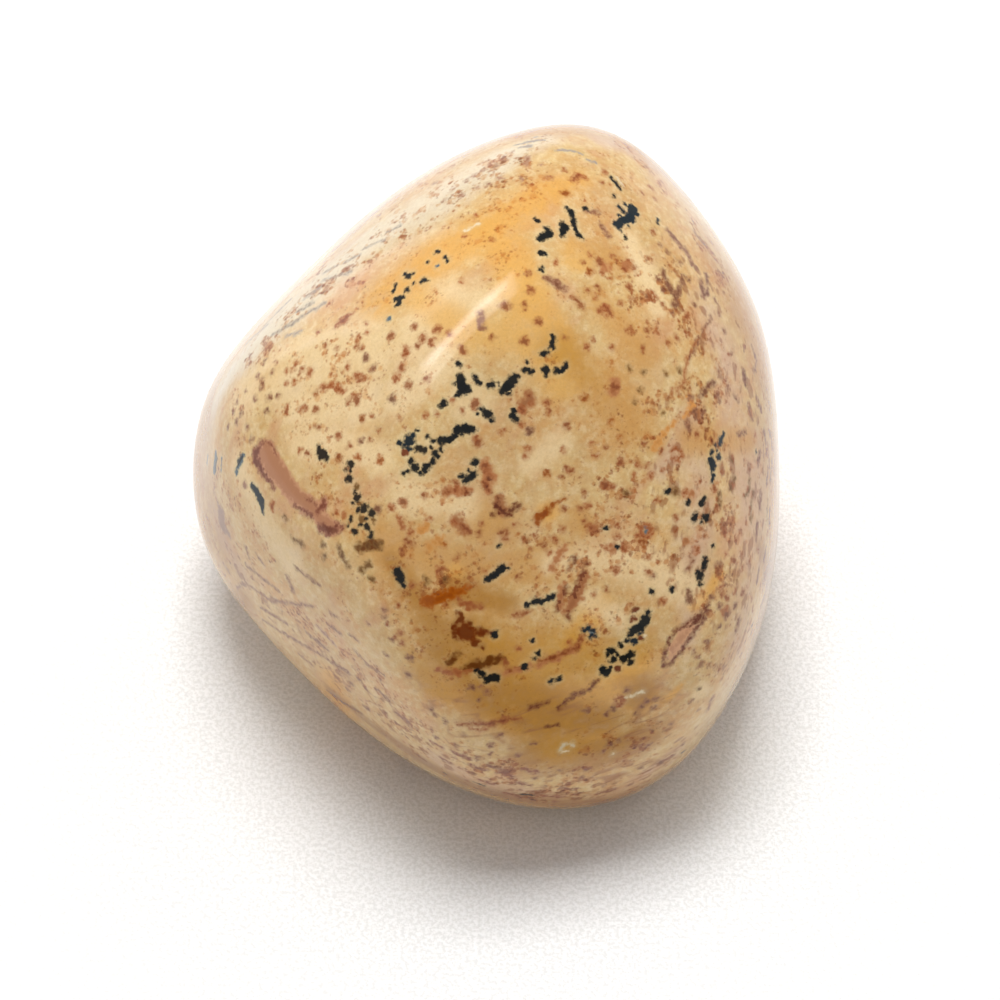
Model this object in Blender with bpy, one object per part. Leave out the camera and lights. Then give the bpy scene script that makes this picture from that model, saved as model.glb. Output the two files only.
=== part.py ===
"""A tumbled stone: one pebble of picture jasper, worn to soft flats and rounded ridges, at its real size.

The stone lies on its foot, a small flat spot. +Z is up, +Y is its long way, and the origin is under the
middle of its box, on the surface that it rests on.
"""

import math

import bmesh
import bpy
from mathutils import Matrix, Vector

MM = 0.001

# The flats that tumbling has worn, each facing away from the stone's heart: its heading round from +X
# towards +Y and its slope above level, in degrees, and its reach from the heart, in millimetres.
WORN_FLATS = {
    "top slope, left": (168, 62, 11.9),
    "top slope, right": (-5, 62, 13.0),
    "shoulder, left": (-145, 45, 11.2),
    "shoulder, back left": (143, 27, 11.0),
    "shoulder, back": (113, 36, 13.1),
    "crown, back": (67, 38, 16.2),
    "shoulder, right": (27, 27, 13.4),
    "brow, right": (-24, 34, 12.3),
    "front": (-77, 43, 10.6),
    "front, low": (-77, 8, 13.0),
    "tip, left": (-174, 8, 11.7),
    "side, front left": (-136, -2, 10.6),
    "side, front right": (-26, -11, 13.6),
    "side, right": (0, 3, 12.2),
    "back": (90, 0, 13.6),
    "back, left": (131, -22, 12.0),
    "back, right": (49, -22, 12.4),
    "heel, left": (-141, -29, 12.7),
    "heel, front left": (-112, -33, 13.3),
    "heel, front": (-65, -27, 15.6),
    "under, left": (-172, -54, 12.0),
    "under, right": (0, -60, 12.8),
    "foot": (0, -90, 9.9),
}
RIDGE_CRISPNESS = 12  # a higher power leaves flatter flats and crisper ridges between them
FOOT_WEAR = 0.08 * MM  # ground off the lowest point, which leaves the flat spot that the stone rests on

BALL_CUTS = 23  # cuts across each side of the cube that the ball is made from
JASPER_COLOUR = (0.72, 0.50, 0.27, 1.0)
POLISH_ROUGHNESS = 0.16


def facing(heading, slope):
    """The unit vector that points that way."""
    heading, slope = math.radians(heading), math.radians(slope)
    return Vector((math.cos(slope) * math.cos(heading), math.cos(slope) * math.sin(heading), math.sin(slope)))


def reach_of_stone(way, flats):
    """How far the stone's surface lies from its heart along a unit vector.

    Each flat alone would stop the surface on its plane. Summing their shares with a high power rounds the
    ridges where planes meet, as tumbling does.
    """
    share = 0.0
    for normal, reach in flats:
        share += max(0.0, way.dot(normal) / reach) ** RIDGE_CRISPNESS
    return share ** (-1.0 / RIDGE_CRISPNESS)


def even_ball():
    """A unit ball of nearly even quads: a cut-up cube, its cuts spread by angle, blown up round."""
    ball = bmesh.new()
    bmesh.ops.create_cube(ball, size=2.0)
    bmesh.ops.subdivide_edges(ball, edges=ball.edges, cuts=BALL_CUTS, use_grid_fill=True)
    for corner in ball.verts:
        corner.co = Vector(math.tan(along * math.pi / 4) for along in corner.co).normalized()
    return ball


def wear_to_form(stone):
    """Moves each point of the ball out to the worn surface."""
    flats = [(facing(heading, slope), reach * MM) for heading, slope, reach in WORN_FLATS.values()]
    for point in stone.verts:
        point.co *= reach_of_stone(point.co, flats)


def grind_foot(stone):
    """Cuts the lowest point away level and closes the cut with one flat face."""
    lowest = min(point.co.z for point in stone.verts)
    cut = bmesh.ops.bisect_plane(
        stone,
        geom=stone.verts[:] + stone.edges[:] + stone.faces[:],
        plane_co=(0, 0, lowest + FOOT_WEAR),
        plane_no=(0, 0, -1),
        clear_outer=True,
    )
    rim = [edge for edge in cut["geom_cut"] if isinstance(edge, bmesh.types.BMEdge)]
    foot = bmesh.ops.contextual_create(stone, geom=rim)["faces"]
    bmesh.ops.recalc_face_normals(stone, faces=stone.faces)
    bmesh.ops.triangulate(stone, faces=foot)


def stand_on_origin(stone):
    """Moves the stone so that the origin is under the middle of its box, level with the foot."""
    low = [min(point.co[axis] for point in stone.verts) for axis in range(3)]
    high = [max(point.co[axis] for point in stone.verts) for axis in range(3)]
    middle = Vector(((low[0] + high[0]) / 2, (low[1] + high[1]) / 2, low[2]))
    bmesh.ops.transform(stone, matrix=Matrix.Translation(-middle), verts=stone.verts)


def polished_jasper():
    """The plain colour and gloss of the polished stone."""
    jasper = bpy.data.materials.new("polished jasper")
    jasper.use_nodes = True
    shader = jasper.node_tree.nodes["Principled BSDF"]
    shader.inputs["Base Color"].default_value = JASPER_COLOUR
    shader.inputs["Roughness"].default_value = POLISH_ROUGHNESS
    shader.inputs["Metallic"].default_value = 0.0
    return jasper


def make_stone():
    """The whole stone, one solid."""
    form = even_ball()
    wear_to_form(form)
    grind_foot(form)
    stand_on_origin(form)
    mesh = bpy.data.meshes.new("stone")
    form.to_mesh(mesh)
    form.free()
    mesh.shade_smooth()
    mesh.set_sharp_from_angle(angle=math.radians(30))
    mesh.materials.append(polished_jasper())
    stone = bpy.data.objects.new("stone", mesh)
    bpy.context.scene.collection.objects.link(stone)
    return stone


def main():
    for old in list(bpy.data.objects):
        bpy.data.objects.remove(old)
    make_stone()


main()
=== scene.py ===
"""The looks of the tumbled stone: its polished surface and markings, a white floor, light and a camera."""

import math
import random

import bmesh
import bpy
import numpy as np
from mathutils import Matrix, Vector
from mathutils.bvhtree import BVHTree


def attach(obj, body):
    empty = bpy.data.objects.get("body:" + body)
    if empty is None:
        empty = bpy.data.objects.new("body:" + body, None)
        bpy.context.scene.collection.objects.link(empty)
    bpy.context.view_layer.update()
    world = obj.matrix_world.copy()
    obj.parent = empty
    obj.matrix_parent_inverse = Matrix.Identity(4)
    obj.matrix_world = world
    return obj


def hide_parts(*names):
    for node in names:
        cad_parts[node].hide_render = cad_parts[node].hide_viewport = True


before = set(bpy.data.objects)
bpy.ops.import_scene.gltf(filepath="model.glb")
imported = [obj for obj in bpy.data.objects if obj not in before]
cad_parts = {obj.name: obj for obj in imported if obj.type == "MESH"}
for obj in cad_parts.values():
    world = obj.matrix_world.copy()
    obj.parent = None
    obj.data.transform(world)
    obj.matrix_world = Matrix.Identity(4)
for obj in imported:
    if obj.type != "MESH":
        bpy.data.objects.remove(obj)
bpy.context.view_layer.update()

MM = 0.001

# The camera looks down at the stone from this height above the floor, from this far.
CAMERA_ELEVATION = 55
CAMERA_DISTANCE = 350 * MM
SENSOR_WIDTH = 36.0
PHOTO_PIXELS = 1000
PIXEL = 0.0414 * MM  # the width of one photo pixel at the stone
AIM_RIGHT_OF_HEART = 0.58 * MM
AIM_BELOW_HEART = 1.37 * MM
CLIP_START = 10 * MM  # the nearest and the farthest that the camera sees
CLIP_END = 10

# The flats that tumbling has worn, each facing away from the stone's heart: its heading round from +X
# towards +Y and its slope above level, in degrees, and its reach from the heart, in millimetres.
WORN_FLATS = {
    "top slope, left": (168, 62, 11.9),
    "top slope, right": (-5, 62, 13.0),
    "shoulder, left": (-145, 45, 11.2),
    "shoulder, back left": (143, 27, 11.0),
    "shoulder, back": (113, 36, 13.1),
    "crown, back": (67, 38, 16.2),
    "shoulder, right": (27, 27, 13.4),
    "brow, right": (-24, 34, 12.3),
    "front": (-77, 43, 10.6),
    "front, low": (-77, 8, 13.0),
    "tip, left": (-174, 8, 11.7),
    "side, front left": (-136, -2, 10.6),
    "side, front right": (-26, -11, 13.6),
    "side, right": (0, 3, 12.2),
    "back": (90, 0, 13.6),
    "back, left": (131, -22, 12.0),
    "back, right": (49, -22, 12.4),
    "heel, left": (-141, -29, 12.7),
    "heel, front left": (-112, -33, 13.3),
    "heel, front": (-65, -27, 15.6),
    "under, left": (-172, -54, 12.0),
    "under, right": (0, -60, 12.8),
    "foot": (0, -90, 9.9),
}
RIDGE_CRISPNESS = 12
FOOT_WEAR = 0.08 * MM
BALL_CUTS = 119  # cuts across each side of the cube that the fine ball is made from

# How each layer of marks looks. These are in pixels of the photo: how softly an edge fades, how far it
# strays and crumbles, how far in the darker core has its full strength, how far a faint stain, the halo,
# reaches past the edge, and how much wider than drawn a mark swells. Lumps and crumbs are how many to a
# metre. The strengths are shares of a full cover.
MARK_LOOKS = {
    "blur": {"softness": 2.2, "stray": 11, "lumps": 2000, "crumble": 10, "crumbs": 4800, "strength": 0.92,
             "core": 5, "core_strength": 0.5, "halo": 4, "halo_strength": 0.3, "swell": 0.0},
    "fleck": {"softness": 2.0, "stray": 10, "lumps": 3200, "crumble": 7, "crumbs": 7000, "strength": 0.85,
              "core": 3, "core_strength": 0.9, "halo": 4, "halo_strength": 0.4, "swell": 0.0},
    "grain": {"softness": 1.7, "stray": 6, "lumps": 2700, "crumble": 5, "crumbs": 6800, "strength": 0.99,
              "core": 4, "core_strength": 0.3, "halo": 6, "halo_strength": 0.22, "swell": 0.5},
}
CORE_SHADE = (0.6, 0.46, 0.38, 1)  # what the core of a mark does to its colour
RANKS = 2  # how many of the nearest strokes each face knows
FACE_REACH = 0.3 * MM  # how far from a face's middle a stroke can still touch the face
FAR_AWAY = 9.0  # where the stretch lies that stands for none, in metres
LEAST_SQUARE = MM**4  # keeps a dot's squared length above nothing
SHADE_RANGE = (0.88, 1.12)  # how much darker or lighter than its tint a mark may be
WASH_FADE = 3  # how abruptly a soft zone fades about its radius

# What is strewn over the side that the camera doesn't see.
HIDDEN_LIMIT = 0.05  # a place is hidden when its slope towards the camera is under this
HIDDEN_BLURS = 26
HIDDEN_DOTS = 560
HIDDEN_STREAKS = 90
HIDDEN_SPRIGS = 17
HIDDEN_GRAINS = 46
HIDDEN_ZONE_STROKES = 9  # for each soft zone
STROKE_WANDER = 0.5  # how far a stroke turns between two steps, in radians
STROKE_END_WIDTH = 0.45  # how wide a stroke is at its ends, as a share of its middle
TAPER_START = 0.7  # how many steps into its taper a stroke starts
TAPER_EXTRA = 0.4  # how many steps longer than the stroke its taper is
MARK_SEED = 7
SHADE_SEED = 3
ZONE_SEED = 11

# The ways that the stone's patterns run, and how far each is drawn out along its way and across it.
BAND_WAY = (0.62, 0.62, 0.48)  # the broad bands and blushes
BAND_STRETCH = (3.2, 1.0, 1.0)
LAYER_WAY = (0.95, 0.28, 0.14)  # the thin brown layers low on the stone
LAYER_STRETCH = (7.0, 1.6, 1.6)
TICK_WAY = (0.0, 0.82, 0.57)  # the short ticks on the right side
TICK_STRETCH = (2.4, 1.0, 1.0)

# The colours of the stone between its marks, as the eye sees them, from 0 to 255.
LIGHT_CREAM = (226, 195, 138)
DEEP_CREAM = (212, 175, 117)
CLOUD = (216, 164, 102)
PALE_MOTTLE = (240, 216, 170)
BLUSH = (208, 152, 110)
DUST = (150, 108, 70)
GRAIN_HALO = (214, 196, 148)

# What these do to the colour under them, as shares of its red, green and blue.
DARK_MOTTLE = (0.93, 0.8, 0.66, 1)
# Painted shade at the stone's outer edges, as the camera sees them.
PAINTED_RIM_SHADE = (0.8, 0.68, 0.54, 1)

# The zones of colour in the order they are laid: zone, colour, and the amounts at which the colour starts
# and is full.
ZONES = (
    ("rosy", (212, 177, 152), 0.2, 1.3),
    ("tan", (206, 151, 78), 0.0, 1.3),
    ("ochre", (228, 170, 84), 0.0, 1.2),
    ("brown", (176, 120, 36), -0.1, 1.2),
    ("pale", (240, 210, 159), 0.1, 1.3),
    ("golden", (229, 177, 96), 0.1, 1.3),
    ("honey", (200, 143, 50), 0.1, 1.3),
    ("umber", (164, 116, 76), 0.1, 1.3),
    # A painted reflection: a pale sheen laid along the upper left edge.
    ("painted_reflection", (231, 217, 190), -0.1, 1.3),
)
RIPPLE = 1.1  # how much a zone's edge is broken up, by long ripples and by small ones
SMALL_RIPPLE = 0.7

# The thin wavy bands: how many waves to a metre, and colour.
BANDS = ((900, (170, 116, 62)), (1500, (156, 98, 66)))
BAND_LINE = 0.045  # how near its middle a wave shows as a line

# The kinds of fine specks: shade, cells to a metre, largest radius as a share of a cell, and strength.
SPECKS = (
    ((0.86, 0.66, 0.5, 1), 3100, 0.78, 0.7),
    ((0.72, 0.47, 0.33, 1), 3700, 0.62, 0.8),
    ((0.6, 0.4, 0.34, 1), 4700, 0.55, 0.8),
    ((0.42, 0.27, 0.2, 1), 4100, 0.34, 0.8),
)
TICKS = ((0.58, 0.42, 0.37, 1), 3000, 0.7, 0.8)
TICK_BASE = 0.25  # how thick the ticks are between the clumps
SPECK_LUMPS = 1.5  # lumps that bend a speck's edge, to a cell
SPECK_STRAY = 0.9  # how far they bend it, as a share of a cell
SPECK_EDGE = (-0.18, 0.26)  # where a speck's soft edge starts and ends, as a share of a cell

# The polish: the range of its roughness, its gloss outside and inside the dull zones, and how it bends light.
ROUGHNESS = (0.1, 0.14)
GLOSS = (0.5, 0.12)
STONE_IOR = 1.46

# The white floor and its sandy grain.
FLOOR_REACH = 3
FLOOR_ROUGHNESS = 0.7
SAND_GRAINS = 6000  # to a metre
SAND_DARK = (0.84, 0.84, 0.83, 1)
SAND_LIGHT = (1.0, 1.0, 1.0, 1)
SAND_RELIEF = 0.06 * MM
SAND_RELIEF_STRENGTH = 0.6

# The lamps: the way each stands from the stone's heart, the lengths of its sides in metres, its power in
# watts, the way that its second side runs, and the rays that don't see it.
LAMP_DISTANCE = 1.8
FRONT_TO_BACK = (0, 1, 0)
UPRIGHT = (0, 0, 1)
CREST_WAY = (0.696, 0.458, 0.311)  # the way that the crest between the top slopes runs
LAMPS = {
    "overhead lamp": ((-0.03, 0.22, 0.97), (0.75, 0.75), 25, FRONT_TO_BACK, "glossy"),
    "crest strip": ((-0.42, 0.1, 0.9), (0.22, 1.5), 5.4, CREST_WAY, "diffuse"),
    "crest glow": ((-0.36, 0.05, 0.93), (0.7, 1.8), 12, CREST_WAY, "diffuse"),
    "back panel, left": ((-0.74, 0.64, 0.17), (0.8, 1.9), 9, UPRIGHT, "diffuse"),
    "fill, left": ((-0.44, 0.67, 0.6), (1.3, 1.3), 4.8, UPRIGHT, "glossy"),
    "fill, right": ((0.46, 0.66, 0.6), (1.3, 1.3), 6.4, UPRIGHT, "glossy"),
}
SURROUND_STRENGTH = 0.36

# The sockets of a colour Mix node and of a vector Scale node.
MIX_SHARE, MIX_UNDER, MIX_OVER, MIX_RESULT = 0, 6, 7, 2
SCALE_VECTOR, SCALE_SHARE = 0, 3

# The colours of the markings, as the eye sees them, from 0 to 255.
TINTS = {
    "cream": (226, 197, 152),
    "black": (17, 21, 20),
    "blue black": (22, 36, 44),
    "slate": (84, 104, 112),
    "brown black": (40, 32, 22),
    "dark red": (120, 60, 30),
    "rust": (164, 94, 50),
    "brick": (204, 148, 110),
    "plum": (146, 88, 66),
    "maroon": (122, 66, 46),
    "dark rust": (110, 46, 2),
    "umber": (106, 56, 6),
    "salmon": (206, 156, 118),
    "soft rust": (180, 118, 72),
    "mauve": (144, 96, 70),
    "pale mauve": (172, 130, 104),
    "orange": (160, 80, 6),
    "soft orange": (208, 144, 74),
    "olive": (130, 92, 46),
    "chalk": (222, 204, 168),
    "lilac grey": (168, 154, 140),
}

# The markings that the photo shows. A mark is a dot, (x, y, radius), or a stroke, which is a list of such
# points, all in pixels of the photo.
GRAINS = {
    "upper left sprig": ("black", [
        (437, 252, 2.5), (445, 257, 2.5), (447, 260, 2), (428, 262, 1.5), (408, 276, 4), (405, 274, 2.5),
        (413, 273, 2.2), (424, 280, 2.5), (421, 282, 2), (428, 281, 1.2), (413, 283, 1.5),
        [(393, 291, 2), (396, 285, 2)], (407, 290, 2.8), (399, 299, 4), (398, 304, 3), (395, 300, 2.5),
        (403, 297, 2)]),
    "upper left sprig, blue end": ("slate", [(389, 319, 2.5), (437, 266, 1.5)]),
    "top left sprig": ("black", [
        (536, 220, 3), [(546, 227, 2), (549, 234, 3.5), (542, 238, 4), (538, 239, 2)], (541, 253, 3.2),
        (545, 254, 2), (541, 269, 2.5), (543, 271, 1.5)]),
    "top middle sprig": ("black", [
        [(563, 225, 3.8), (566, 227, 3), (562, 232, 3), (562, 236, 2)], (578, 235, 2.4), (586, 209, 2.5),
        [(566, 208, 1.5), (571, 212, 3), (573, 221, 2.5), (575, 229, 2.4), (579, 235, 2),
         (583, 238, 0.8)], [(611, 178, 2.2), (620, 188, 2)], (614, 196, 2.3), (625, 237, 2.2),
        [(658, 219, 1.3), (657, 223, 1.8)]]),
    "top right sprig": ("blue black", [
        [(633, 209, 5.5), (631, 218, 5), (624, 220, 3.5), (617, 225, 4.5)], [(619, 207, 2.5),
         (623, 211, 2.5)], (625, 205, 2.5), (620, 230, 2), (628, 226, 2), (637, 214, 2.5),
        (619, 215, 2.2)]),
    "middle sprig, right arm": ("black", [
        [(553, 338, 2.5), (553, 346, 2.8)], (544, 353, 3), (548, 351, 1.5), (527, 362, 1.8),
        [(524, 370, 2.4), (532, 371, 2.5)], [(546, 371, 4.5), (546, 375, 2)], [(556, 371, 2.6),
         (561, 371, 2.8), (566, 365, 2.5)], (514, 411, 1.8), [(513, 412, 1.8), (512, 416, 2.4),
         (516, 420, 3)], [(513, 380, 5.3), (507, 387, 4), (502, 391, 3)], (509, 393, 3), (517, 376, 2.5),
        (491, 385, 3.5), (499, 384, 1.8)]),
    "middle sprig, left arm": ("black", [
        (459, 364, 2.8), [(475, 376, 2.2), (479, 383, 2.6)], [(460, 377, 4), (463, 386, 5.3),
         (467, 390, 4.4)], [(463, 389, 3), (458, 395, 3)], (455, 384, 2), (444, 403, 3.5),
        (440, 406, 1.8), [(484, 411, 3.4), (489, 415, 4.2)], (492, 420, 2.5), (477, 414, 1.5),
        (481, 409, 2)]),
    "middle sprig, curl": ("black", [
        [(473, 429, 3.4), (466, 428, 4.4), (458, 429, 3.4), (455, 436, 2.5), (449, 440, 3.5),
         (441, 441, 4)], (433, 441, 2.2), (418, 430, 2.2), (427, 437, 1.8), (461, 434, 2)]),
    "middle sprig, blue foot": ("blue black", [
        (409, 440, 5.2), (404, 445, 3), (400, 442, 2.6), (409, 448, 2.6), (413, 436, 2)]),
    "middle sprig, brown foot": ("brown black", [[(416, 448, 2.8), (424, 450, 2.8)], (431, 448, 1.8)]),
    "lower curl": ("black", [
        (441, 450, 2.5), (435, 454, 3.2), (433, 461, 3), (426, 467, 4), (424, 471, 3), (415, 467, 3.5),
        (411, 461, 3), (408, 471, 2.5), (404, 474, 2), (420, 472, 2), (438, 457, 2), (430, 465, 2.4),
        (475, 462, 3.5), [(466, 480, 3.8), (471, 477, 3)], (461, 476, 2.5), (474, 474, 3),
        (469, 471, 1.8)]),
    "left grains": ("brown black", [
        [(318, 447, 1.6), (322, 455, 5)], (326, 459, 3), (350, 464, 3.5), (349, 479, 3.5),
        (350, 471, 1.8), (358, 498, 4), (355, 492, 2), (358, 510, 3), (364, 508, 4), (371, 513, 3.5),
        (351, 519, 2.5), (355, 531, 3.5), (367, 527, 3.5), (371, 535, 3.2), (361, 524, 2.4),
        (348, 525, 1.8), (353, 503, 1.8), (346, 470, 1.6), (366, 518, 2)]),
    "left grains, olive": ("olive", [(356, 487, 2.5), (362, 519, 4), (359, 503, 2.4), (374, 520, 2)]),
    "grain under the left grains": ("black", [[(397, 571, 4), (401, 580, 4)], (403, 585, 2.4)]),
    "far left streaks": ("slate", [
        [(216, 453, 2.6), (214, 472, 3)], [(208, 456, 1.2), (207, 464, 1.2)], [(243, 456, 2),
         (236, 473, 2.6)], [(222, 458, 1), (221, 470, 1.4)]]),
    "far left streaks, dark": ("blue black", [
        [(217, 458, 1.6), (215, 470, 2.2)], [(243, 456, 1.8), (239, 462, 2.2), (237, 470, 1.8)],
        [(252, 486, 2.8), (257, 492, 4.4), (260, 498, 5.4), (262, 505, 3.8), (263, 513, 2)]]),
    "middle grain": ("black", [
        [(502, 568, 4.2), (494, 575, 3.2), (487, 580, 3)], [(502, 568, 3), (509, 568, 1.2)],
        (499, 545, 1.8)]),
    "grains right of it": ("black", [
        (527, 605, 3), (532, 603, 2.4), [(536, 601, 4), (542, 602, 2.8)], [(545, 600, 2), (551, 597, 3)],
        (554, 596, 2), (495, 634, 3.8), (532, 640, 2.3), (538, 654, 2.5), (534, 658, 1.8),
        (525, 667, 3.3), (551, 682, 2.6), (556, 680, 2), (559, 679, 2.6)]),
    "grains in the brown streak": ("black", [
        (481, 674, 3.2), [(488, 679, 4.4), (496, 678, 4)], (476, 671, 2)]),
    "ring": ("blue black", [
        [(583, 630, 2.6), (588, 628, 1.6), (594, 630, 2)], (591, 636, 2.8), (595, 635, 1.6)]),
    "lower right sprig": ("black", [
        (648, 613, 3), [(645, 620, 5), (641, 626, 4.4)], [(638, 628, 4.3), (630, 634, 3)],
        (620, 645, 2.3), (625, 640, 2), (609, 650, 2.5), (613, 652, 3), (608, 655, 2.5), (613, 660, 3.5),
        (624, 659, 4.6), (631, 655, 4), (631, 662, 3), (605, 672, 5), (603, 669, 4), (610, 668, 2.4),
        (618, 655, 2)]),
    "lower right sprig, blue": ("blue black", [(634, 641, 3.5), (629, 640, 2.5), (640, 633, 2.4)]),
    "right sprig": ("blue black", [
        [(724, 433, 2), (720, 442, 3)], (715, 445, 2), (712, 453, 2.5), [(711, 460, 4), (713, 467, 4)],
        (719, 457, 3.3), [(713, 475, 3.4), (712, 481, 2)], (717, 450, 1.6)]),
    "right grains": ("black", [
        (668, 491, 3.3), (688, 503, 3), [(704, 498, 2.4), (702, 503, 3.4)], [(697, 513, 2.2),
         (694, 519, 3.2)], (706, 518, 4.3), (701, 521, 2), [(705, 558, 2.4), (704, 568, 2.8)],
        (700, 575, 4.3), (701, 583, 2.5), (652, 592, 3), (672, 590, 2.5), (713, 546, 2), (618, 546, 2.5),
        (683, 752, 2), (756, 451, 1.5), (606, 528, 2.6), (697, 571, 2)]),
    "top edge": ("lilac grey", [
        [(515, 145, 1.4), (528, 142, 2), (543, 140, 1.6)], [(519, 148, 2), (530, 146, 2.6)],
        (536, 137, 1.8), [(555, 150, 1), (567, 150, 1.2), (582, 154, 1)], [(587, 160, 1.1),
         (596, 163, 1.1)]]),
    "bottom edge": ("brown black", [
        [(521, 794, 1.8), (531, 795, 1.8)], [(474, 782, 1), (485, 786, 1.2)]]),
    "red dots": ("dark red", [
        (617, 669, 2.8), (635, 610, 2.8), (633, 619, 3), (641, 639, 2.3), (405, 453, 3.2)]),
    "pale nicks": ("chalk", [
        [(560, 750, 0.7), (564, 744, 0.8), (571, 743, 0.8), (574, 746, 0.7)], [(561, 752, 0.7),
         (568, 751, 0.8)], (613, 754, 1.1), [(627, 697, 0.6), (643, 692, 0.7)], (644, 636, 1.1),
        [(465, 231, 0.9), (478, 224, 0.9)], [(623, 185, 1), (617, 178, 0.8)]]),
}

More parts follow.
